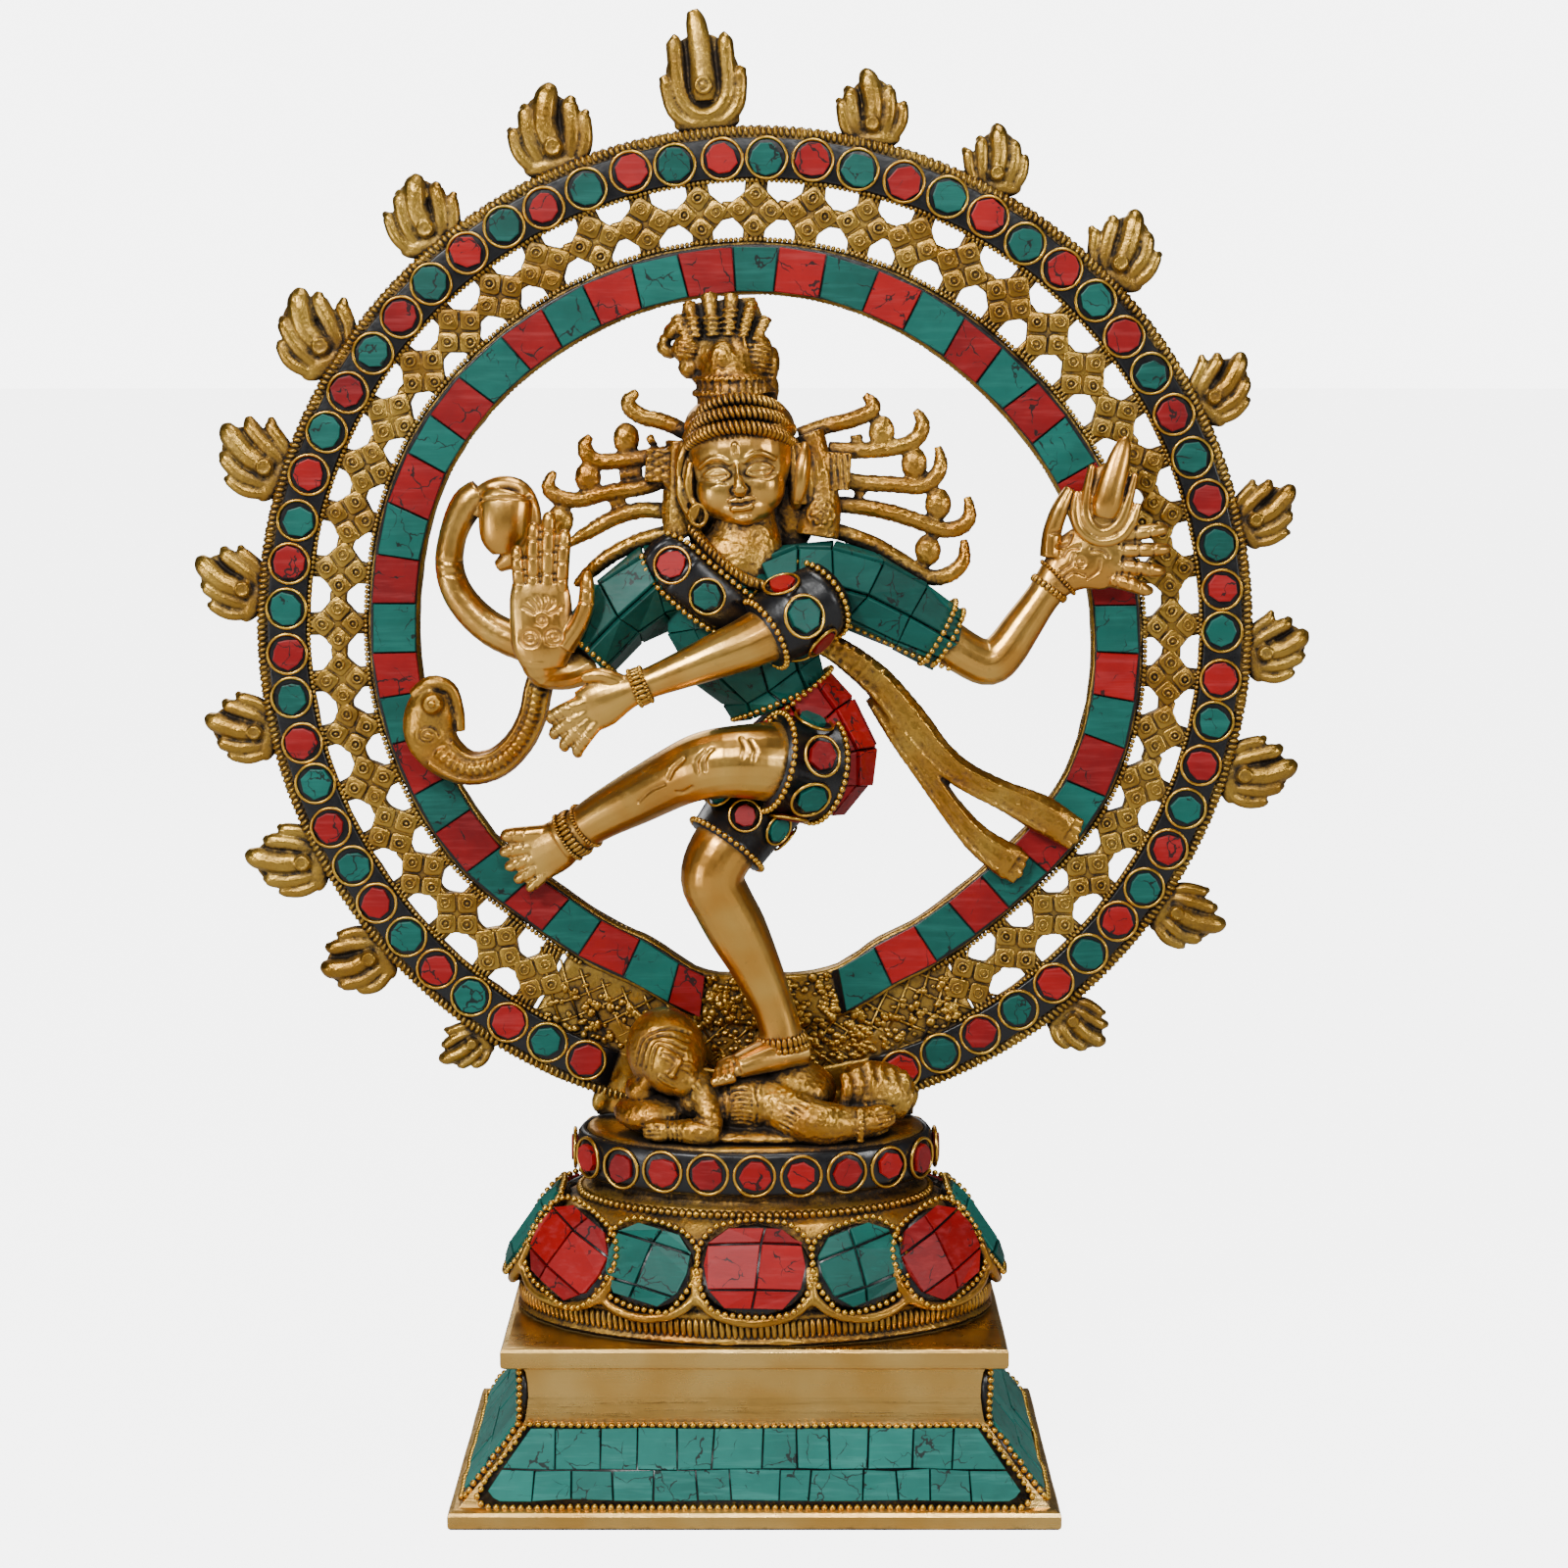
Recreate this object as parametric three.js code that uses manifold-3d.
// Dancing figure in a ring of flames: a brass casting with stone inlay, on a
// lotus pedestal and a hollow stepped plinth. Millimetres, +Z up, the front
// faces -Y, and the origin is the middle of the plinth's foot, on the table.
import * as THREE from 'three';
import { mergeVertices } from 'three/addons/utils/BufferGeometryUtils.js';
import Module from 'manifold-3d';

const wasm = await Module();
wasm.setup();

// ---- driving dimensions ---------------------------------------------------

const GAP = 0.3; // clearance between neighbouring pieces

// plinth, given as half widths (X, Y) at each height
const FOOT = { half: [62, 37], bottom: 0, top: 3.7 };
const SLOPE = { low: [59.6, 34.8], high: [47.4, 28.4], bottom: 3.7, top: 19 };
const NECK = { wide: [47, 28], narrow: [46, 27.2], middle: 25, top: 31.7 };
const SLAB = { half: [51.5, 31], bottom: 31.7, top: 36 };
const PLINTH_HOLLOW = { low: [55.5, 31], high: [43, 24], knee: 18, roof: 31.5 };
const SLAB_OPENING = [36, 20]; // half axes of the oval opening in the roof
const PANEL_THICK = 1.3;
const PANEL_CORNER = 5; // corner radius of a tile panel
const PANEL_MARGIN = { ends: 3.6, foot: 0.8 }; // bare brass left round a tile panel
const NECK_PANEL = { height: 13, ends: 5, proud: 0.7 }; // the part of a side panel on the neck

// lotus pedestal, turned in X and flattened in Y
const LOTUS_FLATTEN = 0.6;
const LOTUS_BOTTOM = 36.3;
const LOTUS_TOP = 75;
const LOTUS_RIM = 50.5;
const LOTUS_WAIST = 33;
const LOTUS_CROWN = 35.5;
const PETAL = { width: 19, height: 15.5, depth: 5, middle: 51.2, inset: 2.5, lean: -18 };
const PETAL_ANGLES = [0, 27, 53, 90, 127, 153, 180, -153, -127, -90, -53, -27];

// ring of flames, seen from the front: centre height and radii
const RING_MIDDLE = 178;
const RING_FRONT = 3;
const RING_BACK = 8;
const RIM_OUTER = 104;
const CHANNEL = { inner: 93, outer: 100.6, end: 162, thick: 1.2 };
const LATTICE = { inner: 80.2, outer: 92.8, pitch: 7.4, crosses: 41 };
const LATTICE_HOLE = { spread: 0.32, straight: 2.5, bridge: 3.4 }; // half width in pitches
const TILE_BAND = { inner: 70, outer: 79.3, end: 168, thick: 1.2 };
const RIM_INNER = 69.2;
const RING_POINT = 103.5; // height of the pointed notch behind the figure's foot
const RING_FEET = { half: 33, bottom: LOTUS_TOP + GAP, top: 92 };

// flames round the rim: base angle, tip angle (clockwise from the top) and tip radius
const TOP_FLAME = { base: -5.5, tip: -5, reach: 126.9, width: 16 };
const FLAME_WIDTH = 12.5;
const FLAME_SUNK = 2; // how deep a flame's foot is sunk in the rim
const FLAME_SET_BACK = 0.6; // flames are a little thinner than the ring
const FLAME_LEAF = [ // half widths of a flame, as shares of its own, from foot to shoulder to tip
  [0, 0.55], [0.3, 0.75], [0.55, 1], [0.72, 0.62], [0.9, 0.3], [1, 0],
];
const LEFT_FLAMES = [
  [-23, -21, 119.8], [-40, -36.5, 117.4], [-57.5, -53.5, 118.3], [-72, -69, 118],
  [-86, -82.5, 116.8], [-102, -99, 116.4], [-118, -114, 117], [-131, -128, 116.8],
  [-146, -144, 113],
];
const RIGHT_FLAMES = [
  [13.5, 11.5, 117], [28.5, 25.5, 115.2], [45.5, 42, 116.8], [63.5, 60.5, 115.8],
  [78, 75, 115.4], [93, 90, 115.8], [107, 104, 117], [124, 122.5, 116.8], [141, 140, 115],
];

// fasteners inside the pedestal
const ROOF_UNDERSIDE = 68; // underside of the pedestal's top plate
const SCREW_HEAD = 2.4; // thickness
const FIGURE_SCREW = { x: 1, y: -8, radius: 2, head: 3.8, top: 82 };
const RING_SCREW = { x: 20, y: 5.5, radius: 1.4, head: 2.6, top: 84 };

// ---- materials -------------------------------------------------------------

const standard = (color, roughness, metalness) =>
  new THREE.MeshStandardMaterial({ color, roughness, metalness });
const brass = standard(0xa8823f, 0.38, 1);
const brushedBrass = standard(0xc2a061, 0.42, 1);
const steel = standard(0x8d9196, 0.35, 1);
const turquoise = standard(0x0f6f62, 0.45, 0);
const coral = standard(0xb02a26, 0.45, 0);
const lac = standard(0x14120f, 0.3, 0);

// ---- solids ----------------------------------------------------------------

const vec = (x, y, z) => new THREE.Vector3(x, y, z);
const radians = THREE.MathUtils.degToRad;

// A closed three.js geometry as a solid for joining and cutting.
function solid(geometry) {
  const bare = geometry.clone();
  bare.deleteAttribute('normal');
  bare.deleteAttribute('uv');
  const merged = mergeVertices(bare, 1e-4);
  return new wasm.Manifold(new wasm.Mesh({
    numProp: 3,
    vertProperties: new Float32Array(merged.attributes.position.array),
    triVerts: new Uint32Array(merged.index.array),
  }));
}

// The other way: a solid as a geometry with flat normals.
function geometryOf(body) {
  const mesh = body.getMesh();
  const geometry = new THREE.BufferGeometry();
  geometry.setAttribute('position', new THREE.BufferAttribute(mesh.vertProperties, 3));
  geometry.setIndex(new THREE.BufferAttribute(mesh.triVerts, 1));
  geometry.computeVertexNormals();
  return geometry;
}

const join = (...bodies) => bodies.reduce((whole, body) => whole.add(body));

// A four-sided block whose top and bottom have their own half widths.
function block(low, high, bottom, top) {
  const geometry = new THREE.BoxGeometry(1, 1, 1);
  const place = geometry.attributes.position;
  for (let i = 0; i < place.count; i += 1) {
    const half = place.getZ(i) > 0 ? high : low;
    place.setXYZ(
      i, 2 * half[0] * place.getX(i), 2 * half[1] * place.getY(i), place.getZ(i) > 0 ? top : bottom,
    );
  }
  return solid(geometry);
}

// A limb: a closed tube through points [x, y, z, radius, depth], where radius
// is the half width seen from the front and depth the half thickness in Y.
// extra makes it fatter and longer, to cut clearance in a neighbour.
function limb(stations, extra = 0, sides = 10) {
  const last = stations.length - 1;
  const points = stations.map(([x, y, z]) => vec(x, y, z));
  const along = points.map((point, i) =>
    points[Math.min(i + 1, last)].clone().sub(points[Math.max(i - 1, 0)]).normalize());
  points[0].addScaledVector(along[0], -extra);
  points[last].addScaledVector(along[last], extra);
  const geometry = new THREE.CylinderGeometry(1, 1, last, sides, last);
  const place = geometry.attributes.position;
  for (let i = 0; i < place.count; i += 1) {
    const ring = Math.round(last / 2 - place.getY(i));
    const [, , , radius, depth = radius] = stations[ring];
    const across = along[ring].clone().cross(vec(0, 1, 0)).normalize();
    const outward = along[ring].clone().cross(across).normalize();
    const spot = points[ring].clone()
      .addScaledVector(across, place.getX(i) * (radius + extra))
      .addScaledVector(outward, place.getZ(i) * (depth + extra));
    place.setXYZ(i, spot.x, spot.y, spot.z);
  }
  return solid(geometry);
}

// An egg-shaped lump.
function lump([x, y, z], [rx, ry, rz], extra = 0, turn = 0) {
  const geometry = new THREE.SphereGeometry(1, 10, 7);
  geometry.rotateX(Math.PI / 2);
  geometry.scale(rx + extra, ry + extra, rz + extra);
  geometry.rotateY(radians(turn));
  geometry.translate(x, y, z);
  return solid(geometry);
}

// A flat outline in X and Z, standing between two depths in Y.
function plate(shape, front, back, curveSegments = 12) {
  const geometry = new THREE.ExtrudeGeometry(shape, {
    depth: back - front, bevelEnabled: false, curveSegments,
  });
  geometry.rotateX(Math.PI / 2);
  geometry.translate(0, back, 0);
  return solid(geometry);
}

// A point of the ring, by radius and angle clockwise from the top.
function onRing(radius, angle) {
  const a = radians(angle);
  return new THREE.Vector2(radius * Math.sin(a), RING_MIDDLE + radius * Math.cos(a));
}

// A band round the ring from one angle to another.
function ringBand(inner, outer, from, to, front, back) {
  const steps = Math.max(2, Math.round(Math.abs(to - from) / 7.5));
  const angles = Array.from({ length: steps + 1 }, (_, i) => from + ((to - from) * i) / steps);
  const outline = [
    ...angles.map((angle) => onRing(outer, angle)),
    ...angles.toReversed().map((angle) => onRing(inner, angle)),
  ];
  return plate(new THREE.Shape(outline), front, back);
}

// A turned piece, flattened to an oval. The profile is a closed loop of [radius, height].
function oval(profile, sides = 28) {
  const geometry = new THREE.LatheGeometry(
    profile.map(([radius, height]) => new THREE.Vector2(radius, height)), sides,
  );
  geometry.rotateX(Math.PI / 2);
  geometry.scale(1, LOTUS_FLATTEN, 1);
  return solid(geometry);
}

// A straight pin or disc along Z.
function pin(x, y, radius, bottom, top, sides = 12) {
  const geometry = new THREE.CylinderGeometry(radius, radius, top - bottom, sides);
  geometry.rotateX(Math.PI / 2);
  geometry.translate(x, y, (bottom + top) / 2);
  return solid(geometry);
}

// ---- plinth and tile panels -------------------------------------------------

function plinth() {
  const outside = join(
    block(FOOT.half, FOOT.half, FOOT.bottom, FOOT.top),
    block(SLOPE.low, SLOPE.high, SLOPE.bottom, SLOPE.top),
    block(NECK.wide, NECK.narrow, SLOPE.top, NECK.middle),
    block(NECK.narrow, NECK.wide, NECK.middle, NECK.top),
    block(SLAB.half, SLAB.half, SLAB.bottom, SLAB.top),
  );
  const opening = new THREE.CylinderGeometry(1, 1, 20, 32);
  opening.rotateX(Math.PI / 2);
  opening.scale(SLAB_OPENING[0], SLAB_OPENING[1], 1);
  opening.translate(0, 0, SLAB.top - 5);
  const { low, high, knee, roof } = PLINTH_HOLLOW;
  return outside
    .subtract(block(low, high, FOOT.bottom - 1, knee))
    .subtract(block(high, high, knee - 0.5, roof))
    .subtract(solid(opening));
}

// One inlaid panel: a round-cornered trapezoid lying on a sloping side of the plinth.
function tilePanel(side) {
  const across = side % 2 === 0 ? 0 : 1; // front and back panels are long in X
  const run = SLOPE.low[1 - across] - SLOPE.high[1 - across];
  const rise = SLOPE.top - SLOPE.bottom;
  const height = Math.hypot(run, rise) - 2 * PANEL_MARGIN.foot;
  const lowHalf = SLOPE.low[across] - PANEL_MARGIN.ends;
  const highHalf = SLOPE.high[across] - PANEL_MARGIN.ends;
  const corner = across ? PANEL_CORNER * 0.6 : PANEL_CORNER;
  const shape = new THREE.Shape();
  shape.moveTo(-lowHalf + corner, 0);
  shape.lineTo(lowHalf - corner, 0);
  shape.quadraticCurveTo(lowHalf, 0, lowHalf - 1, corner);
  shape.lineTo(highHalf, height - 1);
  shape.lineTo(highHalf - 1, height);
  shape.lineTo(-highHalf + 1, height);
  shape.lineTo(-highHalf, height - 1);
  shape.lineTo(-lowHalf + 1, corner);
  shape.quadraticCurveTo(-lowHalf, 0, -lowHalf + corner, 0);
  const geometry = new THREE.ExtrudeGeometry(shape, {
    depth: PANEL_THICK, bevelEnabled: false, curveSegments: 4,
  });
  geometry.translate(0, PANEL_MARGIN.foot, GAP);
  geometry.rotateX(Math.atan2(rise, run));
  geometry.translate(0, -SLOPE.low[1 - across], SLOPE.bottom);
  geometry.rotateZ((side * Math.PI) / 2);
  const skirt = solid(geometry);
  return across ? skirt.add(neckSide(side === 1 ? 1 : -1)) : skirt;
}

// The side panels run on up the neck, to just below the slab.
function neckSide(sign) {
  const { height, ends, proud } = NECK_PANEL;
  const geometry = new THREE.BoxGeometry(PANEL_THICK, 2 * SLOPE.high[1] - ends, height);
  geometry.translate(
    sign * (SLOPE.high[0] + proud + PANEL_THICK / 2), 0, SLAB.bottom - GAP - height / 2,
  );
  return solid(geometry);
}

// ---- lotus pedestal ----------------------------------------------------------

const lotusOutside = (extra) => [
  [LOTUS_RIM + extra, LOTUS_BOTTOM], [LOTUS_RIM + extra, 41.5], [48 + extra, 43.2],
  [49.2 + extra, 47], [47 + extra, 53.5], [41.5 + extra, 58.8], [LOTUS_WAIST + 1 + extra, 61.4],
  [LOTUS_WAIST + extra, 62], [LOTUS_WAIST + extra, 64.8], [LOTUS_CROWN + extra, 65.4],
  [LOTUS_CROWN + extra, 74.4], [LOTUS_CROWN - 0.8 + extra, LOTUS_TOP],
];

function lotusPedestal() {
  return oval([
    ...lotusOutside(0), [0, LOTUS_TOP], [0, ROOF_UNDERSIDE],
    [25, ROOF_UNDERSIDE], [27.5, 65], [31, 58], [40, 50], [42, LOTUS_BOTTOM],
    [LOTUS_RIM, LOTUS_BOTTOM],
  ])
    .subtract(pin(FIGURE_SCREW.x, FIGURE_SCREW.y, FIGURE_SCREW.radius + GAP, 60, 80))
    .subtract(pin(RING_SCREW.x, RING_SCREW.y, RING_SCREW.radius + GAP, 60, 80))
    .subtract(pin(-RING_SCREW.x, RING_SCREW.y, RING_SCREW.radius + GAP, 60, 80));
}

// A domed inlay on one petal, cut back so that it sits on the pedestal's side.
function petalInlay(angle, body) {
  const a = radians(angle);
  const reach = LOTUS_RIM - PETAL.inset;
  const foot = vec(reach * Math.sin(a), -LOTUS_FLATTEN * reach * Math.cos(a), PETAL.middle);
  const facing = Math.atan2(Math.sin(a) * LOTUS_FLATTEN, Math.cos(a));
  const geometry = new THREE.SphereGeometry(1, 10, 6);
  geometry.rotateX(Math.PI / 2);
  geometry.scale(PETAL.width / 2, PETAL.depth / 2, PETAL.height / 2);
  geometry.rotateX(radians(PETAL.lean));
  geometry.rotateZ(facing);
  geometry.translate(foot.x, foot.y, foot.z);
  return solid(geometry).subtract(body);
}

function gemBand() {
  const inner = LOTUS_CROWN + 2 * GAP;
  return oval([
    [inner, 65.8], [inner + 1.5, 65.8], [inner + 1.8, 69.8], [inner + 1.5, 73.8], [inner, 73.8],
    [inner, 65.8],
  ]);
}

// ---- ring of flames ------------------------------------------------------------

// One flame: a pointed leaf whose foot is sunk in the rim.
function flame(base, tip, reach, width) {
  const foot = onRing(RIM_OUTER - FLAME_SUNK, base);
  const point = onRing(reach, tip);
  const up = point.clone().sub(foot);
  const side = new THREE.Vector2(up.y, -up.x).normalize().multiplyScalar(width / 2);
  const at = (share, spread) => foot.clone().addScaledVector(up, share).addScaledVector(side, spread);
  const outline = [
    ...FLAME_LEAF.map(([share, half]) => at(share, -half)),
    ...FLAME_LEAF.slice(0, -1).toReversed().map(([share, half]) => at(share, half)),
  ];
  return plate(
    new THREE.Shape(outline), RING_FRONT + FLAME_SET_BACK, RING_BACK - FLAME_SET_BACK,
  );
}

// The three-sided holes between neighbouring crosses, one outside and one inside.
function latticeHoles(angle) {
  const { inner, outer, pitch } = LATTICE;
  const middle = (inner + outer) / 2;
  const { spread, straight, bridge } = LATTICE_HOLE;
  const wide = pitch * spread;
  return [
    [onRing(outer, angle - wide), onRing(outer, angle + wide),
      onRing(outer - straight, angle + wide), onRing(middle + bridge / 2, angle),
      onRing(outer - straight, angle - wide)],
    [onRing(inner, angle - wide), onRing(inner + straight, angle - wide),
      onRing(middle - bridge / 2, angle), onRing(inner + straight, angle + wide),
      onRing(inner, angle + wide)],
  ];
}

function flameRing() {
  const outline = (points, front = RING_FRONT, back = RING_BACK) =>
    plate(new THREE.Shape(points), front, back);
  const disc = outline(Array.from({ length: 72 }, (_, i) => onRing(RIM_OUTER, 5 * i)));
  const opening = Array.from({ length: 65 }, (_, i) => onRing(RIM_INNER, 5 * i - 160));
  opening.push(new THREE.Vector2(0, RING_POINT));
  const { half, bottom, top } = RING_FEET;
  const feet = outline([
    new THREE.Vector2(-half, bottom), new THREE.Vector2(half, bottom),
    new THREE.Vector2(half + 1, top), new THREE.Vector2(-half - 1, top),
  ]);
  const flames = [...LEFT_FLAMES, ...RIGHT_FLAMES].map((row) => flame(...row, FLAME_WIDTH));
  const crest = flame(TOP_FLAME.base, TOP_FLAME.tip, TOP_FLAME.reach, TOP_FLAME.width);
  const gaps = LATTICE.crosses - 1;
  const holes = Array.from({ length: gaps }, (_, i) => (i + 0.5 - gaps / 2) * LATTICE.pitch)
    .flatMap(latticeHoles)
    .map((points) => outline(points, RING_FRONT - 1, RING_BACK + 1));
  const screwHole = (side) => pin(
    side * RING_SCREW.x, RING_SCREW.y, RING_SCREW.radius + GAP, bottom - 5, RING_SCREW.top + 1,
  );
  return join(disc, feet, crest, ...flames)
    .subtract(outline(opening, RING_FRONT - 1, RING_BACK + 1))
    .subtract(join(...holes))
    .subtract(block([120, 40], [120, 40], 0, bottom))
    .subtract(screwHole(-1))
    .subtract(screwHole(1));
}

function gemChannel() {
  const { inner, outer, end, thick } = CHANNEL;
  return ringBand(inner, outer, -end, end, RING_FRONT - GAP - thick, RING_FRONT - GAP);
}

function tileBand(from, to) {
  const { inner, outer, thick } = TILE_BAND;
  return ringBand(inner, outer, from, to, RING_FRONT - GAP - thick, RING_FRONT - GAP);
}

// ---- fasteners ------------------------------------------------------------------

function screw({ x, y, radius, head, top }) {
  const shoulder = ROOF_UNDERSIDE - GAP;
  return join(
    pin(x, y, head, shoulder - SCREW_HEAD, shoulder, 6),
    pin(x, y, radius, shoulder - 1, top),
  );
}

// ---- figure -----------------------------------------------------------------------
// Each body region is a function of extra, so that a later region can be cut
// clear of it. Stations run along the limb: x, y, z, half width, half thickness.

const screwClearance = () =>
  pin(FIGURE_SCREW.x, FIGURE_SCREW.y, FIGURE_SCREW.radius + GAP, 70, FIGURE_SCREW.top + 0.6);
const lotusTop = (extra) => block([60, 40], [60, 40], 40, LOTUS_TOP + GAP + extra);

const STANDING_LEG = [
  [5, -8, 149, 8, 8], [-1, -11, 142, 7.4, 7.5], [-7.5, -14, 134, 6.6, 7],
  [-8.5, -14, 128.5, 6.4, 6.6], [-4.6, -12, 120, 6.2, 6], [0, -10, 111, 5.2, 5],
  [4, -9, 102, 4.4, 4.2], [5.4, -9, 95, 5, 4.8], [3, -10, 91.4, 4, 3.2], [-6, -15, 89.4, 3, 2],
];
const RAISED_LEG = [
  [11, -10, 152, 9, 8], [4, -18, 154, 8.2, 7.5], [-5, -22, 154.4, 7.2, 6.6],
  [-14, -19, 151.6, 6.2, 6], [-24, -12, 146, 5.4, 5], [-34, -7, 139.8, 4.6, 4.2],
  [-38.5, -5.4, 136.4, 4.8, 4], [-43, -4.8, 133.8, 5.2, 2.8], [-50, -4.2, 131, 5.6, 1.8],
];
const HIPS = [
  [12, -7, 145, 8, 8], [13, -7, 151, 11.4, 9.5], [11, -7, 158, 11.6, 9], [6, -7, 165, 10.4, 8],
];
const TORSO = [
  [5.4, -7, 165, 9.4, 7.4], [3, -7, 169, 9.6, 7.4], [-1, -8, 176, 12.6, 8.6],
  [-3, -8, 183, 14.5, 8.8], [-3.5, -8, 189, 15, 7.8], [-2.5, -8.5, 193.5, 9, 6],
];
const RIGHT_UPPER_ARM = [
  [-14, -7, 189.5, 7], [-23, -7.5, 187, 8], [-30, -8.5, 180.5, 7.6], [-35, -9.5, 174, 6.4],
];
const OPEN_HAND_ARM = [
  [-35, -11, 173, 4], [-40, -14, 171.8, 4], [-43, -16, 173, 4.4, 3], [-43, -17, 178, 6, 3],
  [-42.4, -17, 184, 6.6, 2.4], [-42, -17, 188.5, 6, 2], [-41.4, -17.4, 195, 4.4, 1.6],
  [-41.4, -17.6, 203, 2.6, 1.4],
];
const DRUM_ARM = [
  [-36, -7.5, 175.5, 4], [-45, -6, 176.6, 3.8], [-53.5, -5, 179.6, 3.5], [-60, -4.5, 186, 3.2],
  [-62.4, -4.5, 192.5, 3], [-61.2, -4.5, 199.5, 2.8], [-58, -4.5, 206, 3.2],
];
const DRUM = [
  [-49.4, -5.5, 190.5, 2.4], [-50.6, -5.5, 194.5, 4.6, 4], [-52.5, -5.5, 200, 6, 4.8],
  [-53.4, -5.5, 205, 7.2, 5.2], [-53.6, -5.5, 208.6, 6.4, 5],
];
const COBRA = [
  [-42, -9, 172, 2.6], [-44.6, -8.4, 167, 3], [-46, -7, 161.6, 3], [-49, -6, 155.6, 3.2],
  [-54, -5, 151.4, 3.4], [-60, -4.4, 150.4, 3.6], [-66.4, -4, 153, 3.8, 3],
  [-70.4, -4, 158, 5, 3], [-70, -4, 164, 4.6, 3], [-67.4, -5, 168.4, 2.4, 2.6],
];
const CROSSED_ARM = [
  [14, -11, 187, 6.6], [6, -17.5, 182, 6.4], [0, -20, 178.6, 5.2], [-8, -21.5, 175.4, 4.4],
  [-15, -22, 172.8, 3.8], [-22, -22, 170, 3.1], [-26, -22, 168.2, 3.6, 3],
  [-31, -22, 165.6, 4.8, 2.8], [-35.5, -21.5, 162, 4.2, 2.2], [-38.5, -21, 157.6, 2.4, 1.6],
];
const SLEEVE_ARM = [
  [10, -7, 190.4, 7.4, 7], [20, -6.6, 188.8, 8.2, 7.4], [30, -6, 183.4, 7.4, 7],
  [40.6, -5.4, 177.4, 5.6, 5.4],
];
const FLAME_ARM = [
  [40, -5.4, 176.8, 4.4], [46, -5, 172.8, 4.4], [50.4, -4.6, 174, 4.2], [55, -4.4, 180, 3.9],
  [60.6, -4.2, 187.6, 3.6], [64.6, -3.6, 192, 4.6, 2.8], [70, -3.2, 195, 7, 2.6],
  [76, -3.2, 195, 6.2, 2.4], [83.4, -2.6, 191.6, 4.2, 1.8],
];
const HAND_FLAME = [
  [70, -4, 197, 5.6, 2.4], [72, -4.2, 204, 6.4, 3], [73.4, -3.4, 211, 4.2, 2.4],
  [74.2, -2.6, 218, 1.2, 1],
];
const SASH = [
  [17, -3.5, 174.5, 3, 2], [25, -2.6, 168.6, 3, 2], [32.6, -1.8, 159.6, 3.2, 2],
  [40, -1.4, 150.6, 3.2, 2], [50, -1.2, 145.6, 3, 2], [60, -1.2, 140.6, 4, 2], [66, -1.2, 137, 3.4, 1.8],
];
const SASH_TAIL = [
  [24, -2.4, 167, 2.4, 1.8], [30, -1.8, 158.4, 2.6, 1.8], [36.4, -1.4, 148, 2.6, 1.8],
  [43, -1.2, 139.6, 2.8, 1.8], [52, -1.2, 131.4, 4.4, 1.8],
];
const HEAD = [
  [-1.2, -8.6, 194, 5.4, 5], [-1.4, -9, 199, 5.4, 5.4], [-2, -9.6, 203, 8, 8.4],
  [-2.3, -9.6, 208, 9.8, 9.6], [-2.4, -9.4, 214, 10.4, 10], [-2.5, -9, 220, 11.2, 10.2],
  [-2.8, -9, 226.6, 10.4, 9],
];
const CROWN = [
  [-3.2, -8, 227.2, 7.8, 7], [-4.4, -7, 231, 8, 6.6], [-6, -6, 235.6, 12, 6.4],
  [-6.6, -5, 241, 12, 5.4], [-7.4, -4, 246.4, 10.4, 3.6],
];
const BODY_ARMLET = CROSSED_ARM.slice(0, 3).map(([x, y, z, r]) => [x, y, z, r + 1.5]);
const THIGH_BAND = RAISED_LEG.slice(0, 2).map(([x, y, z, r, d]) => [x, y, z, r + 1.8, d + 1.8]);
const LEG_CUFF = STANDING_LEG.slice(0, 3).map(([x, y, z, r, d]) => [x, y, z, r + 1.5, d + 1.5]);
const COLLAR = [[-19, -12.5, 196, 4], [-13, -14, 190, 4.6], [-5, -15, 184.6, 4.6], [1, -14, 181, 3.6]];
const HAIR_RADIUS = 1.6;
const RIGHT_LOCKS = [
  [[-14, -5, 220.2], [-18.4, -5, 221.8], [-25, -5, 224.2], [-25.4, -5, 227.6]],
  [[-21.6, -5, 214.8], [-26, -5, 214.3], [-32, -5, 214.2], [-34.2, -5, 218.6]],
  [[-21, -5, 209.4], [-28, -5, 207.8], [-36.2, -5, 206.2], [-41.8, -5, 207.4], [-41.6, -5, 211.6]],
  [[-19.2, -5, 203.8], [-25, -5, 203.6], [-32, -5, 200.8], [-38.2, -5, 197.2]],
  [[-17, -5, 199.4], [-24.1, -5, 197], [-31, -5, 193.8], [-36.4, -5, 189.6]],
];
const LEFT_LOCKS = [
  [[11, -5, 220.4], [18, -5, 222], [24, -5, 224], [23.4, -5, 227]],
  [[19.4, -5, 216], [25, -5, 216.2], [31.4, -5, 217.6], [34, -5, 220.6], [32.8, -5, 224]],
  [[19.2, -5, 210], [26, -5, 209.3], [33.3, -5, 208.7], [38, -5, 211.4], [37.4, -5, 216.6]],
  [[17, -5, 205], [26, -5, 204.2], [37, -5, 200.4], [43.4, -5, 201.8], [43.4, -5, 206.5]],
  [[15.4, -5, 199.6], [24, -5, 197.4], [35, -5, 190.6], [41.6, -5, 191.8], [43, -5, 198]],
];
const DWARF = [
  [-20, -9, 84, 6, 6], [-12, -9, 84, 8.6, 8], [-2, -8, 83.4, 8.4, 8.6], [9, -8, 83.4, 7, 8.6],
  [20, -7, 82.4, 7.4, 8], [28.5, -5, 80, 5, 5],
];
const DWARF_FOREARM = [[-24, -13, 78.6, 2.6], [-16, -17, 77.9, 2.6], [-8, -17, 77.9, 2.6]];
const DWARF_SHIN = [[9, -13, 82, 5], [14, -16, 80.6, 5], [20, -15.5, 78.6, 3.2], [25.4, -13, 78.4, 3]];

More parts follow.
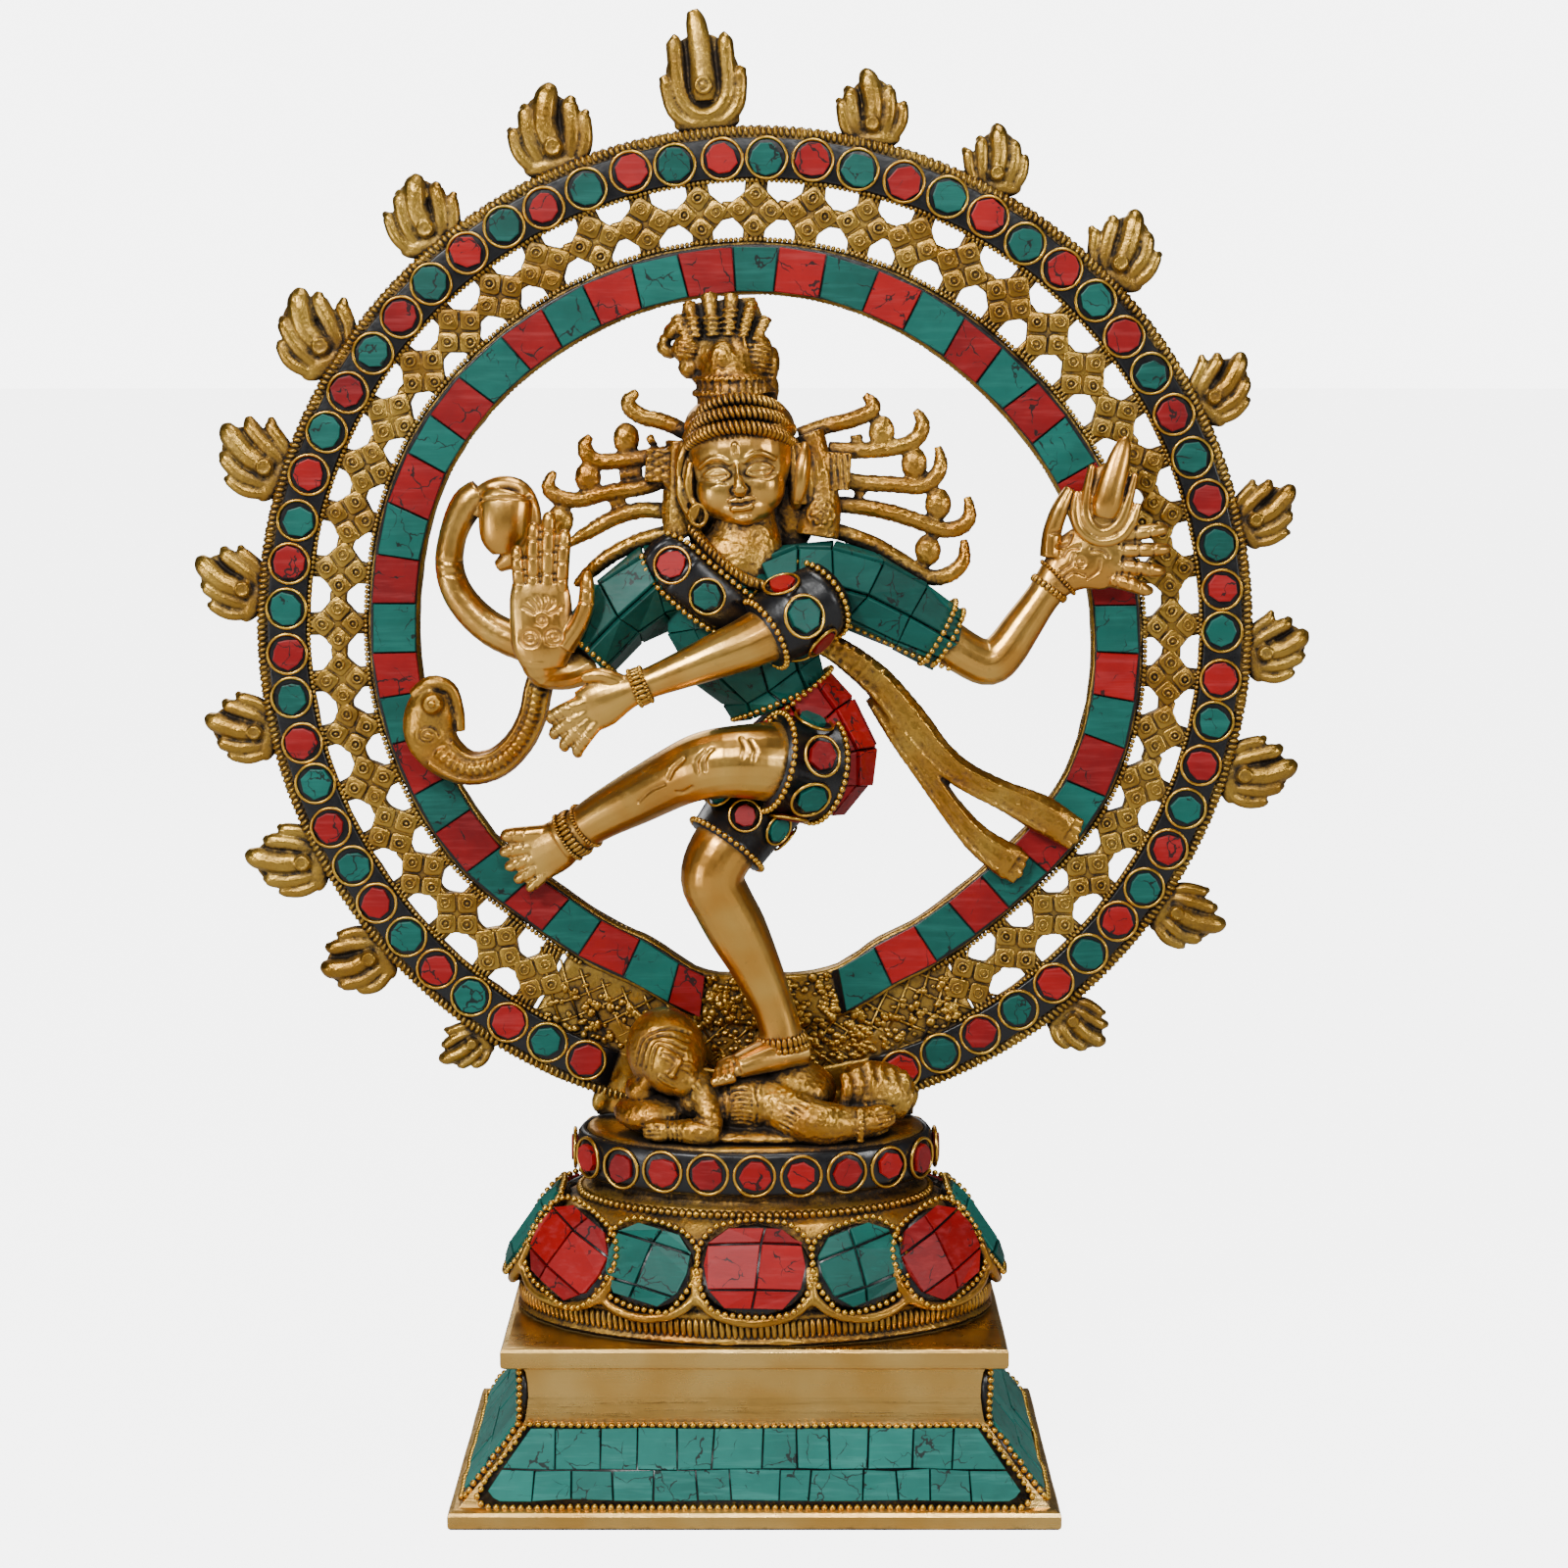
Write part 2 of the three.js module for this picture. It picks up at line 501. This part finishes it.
// Round section lock of hair.
const lock = (points) => (extra) => limb(points.map((p) => [...p, HAIR_RADIUS]), extra, 7);
const tube = (stations, sides) => (extra) => limb(stations, extra, sides);
const dwarfBody = (extra) => join(
  limb(DWARF, extra), limb(DWARF_FOREARM, extra, 8), limb(DWARF_SHIN, extra, 8),
);
const sash = (extra) => join(limb(SASH, extra, 8), limb(SASH_TAIL, extra, 8));
const earOrnament = (side) => (extra) => join(
  lump([side < 0 ? -17.6 : 15, -6, 211.6], [4.6, 4.6, 5], extra),
  lump([side < 0 ? -15.4 : 13, -7.4, 204.4], [4.4, 4.2, 5.2], extra),
);

// name, material, shape, and whether it is cut clear of the lotus top
const FIGURE = [
  ['standing_leg', brass, tube(STANDING_LEG)],
  ['standing_leg_cuff', lac, tube(LEG_CUFF)],
  ['raised_leg', brass, tube(RAISED_LEG)],
  ['raised_thigh_band', lac, tube(THIGH_BAND)],
  ['hips', coral, tube(HIPS, 12)],
  ['dwarf_body', brass, dwarfBody],
  ['dwarf_head', brass, (extra) => lump([-18.2, -11, 92.6], [7.4, 7.6, 9], extra, -20)],
  ['crossed_arm', brass, tube(CROSSED_ARM)],
  ['crossed_arm_cuff', lac, tube(BODY_ARMLET)],
  ['torso', turquoise, tube(TORSO, 12)],
  ['right_upper_arm', turquoise, tube(RIGHT_UPPER_ARM)],
  ['left_sleeve', turquoise, tube(SLEEVE_ARM)],
  ['collar_band', lac, tube(COLLAR, 8)],
  ['head', brass, tube(HEAD, 12)],
  ['crown', brass, tube(CROWN)],
  ['left_ear_ornament', brass, earOrnament(1)],
  ['right_ear_ornament', brass, earOrnament(-1)],
  ['open_hand_arm', brass, tube(OPEN_HAND_ARM)],
  ['drum_arm', brass, tube(DRUM_ARM)],
  ['drum', brass, tube(DRUM)],
  ['cobra', brass, tube(COBRA, 8)],
  ['flame_arm', brass, tube(FLAME_ARM)],
  ['hand_flame', brass, tube(HAND_FLAME, 8)],
  ['sash', brass, sash],
  ...RIGHT_LOCKS.map((points, i) => [`hair_lock_right_${i + 1}`, brass, lock(points)]),
  ...LEFT_LOCKS.map((points, i) => [`hair_lock_left_${i + 1}`, brass, lock(points)]),
];

// ---- assembly ----------------------------------------------------------------------

const statue = new THREE.Group();

function place(name, material, body) {
  const mesh = new THREE.Mesh(geometryOf(body), material);
  mesh.name = name;
  statue.add(mesh);
}

place('plinth', brushedBrass, plinth());
['front', 'right', 'back', 'left'].forEach((side, i) =>
  place(`${side}_tile_panel`, turquoise, tilePanel(i)));
place('lotus_pedestal', brass, lotusPedestal());
const petalSeat = oval([...lotusOutside(2 * GAP), [0, LOTUS_TOP], [0, LOTUS_BOTTOM],
  [LOTUS_RIM + 2 * GAP, LOTUS_BOTTOM]]);
PETAL_ANGLES.forEach((angle, i) => place(
  `petal_inlay_${String(i + 1).padStart(2, '0')}`, i % 2 ? turquoise : coral,
  petalInlay(angle, petalSeat),
));
place('pedestal_gem_band', lac, gemBand());
place('flame_ring', brass, flameRing());
place('ring_gem_channel', lac, gemChannel());
place('ring_tile_band_right', turquoise, tileBand(-TILE_BAND.end, -0.3));
place('ring_tile_band_left', coral, tileBand(0.3, TILE_BAND.end));
place('figure_screw', steel, screw(FIGURE_SCREW));
[-1, 1].forEach((side) => {
  const at = { ...RING_SCREW, x: side * RING_SCREW.x };
  place(side < 0 ? 'ring_screw_right' : 'ring_screw_left', steel, screw(at));
});

const ringFace = plate(
  new THREE.Shape(Array.from({ length: 24 }, (_, i) => onRing(112, 15 * i))),
  RING_FRONT - 2 * GAP - CHANNEL.thick, RING_BACK + 30,
);
const neighbours = [];
FIGURE.forEach(([name, material, shape]) => {
  let body = shape(0).subtract(ringFace).subtract(lotusTop(0)).subtract(screwClearance());
  neighbours.forEach((other) => {
    body = body.subtract(other(GAP));
  });
  neighbours.push(shape);
  place(name, material, body);
});

export default statue;
